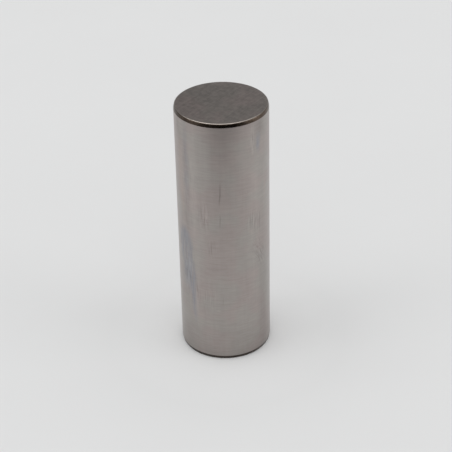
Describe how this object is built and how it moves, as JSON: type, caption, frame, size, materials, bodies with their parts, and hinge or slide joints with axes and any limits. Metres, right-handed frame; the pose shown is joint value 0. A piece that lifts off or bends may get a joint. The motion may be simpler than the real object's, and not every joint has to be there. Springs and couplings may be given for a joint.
{
  "type": "crank pin",
  "caption": "Plain round steel crank pin, ground to size, with flat ends and a short tapered lead-in at each end.",
  "frame": {"origin": "centre of the lower end face, on the pin's axis", "axes": "+Z along the pin's axis, from the lower end face to the upper one; X and Y are alike, because the pin is round"},
  "size_m": [0.022, 0.022, 0.065],
  "materials": {
    "ground_steel": "fine ground round the pin, dull lapped end faces, dark furnace skin left on the lead-ins"
  },
  "bodies": {
    "root": {"crank_pin": "ground_steel"}
  },
  "joints": []
}
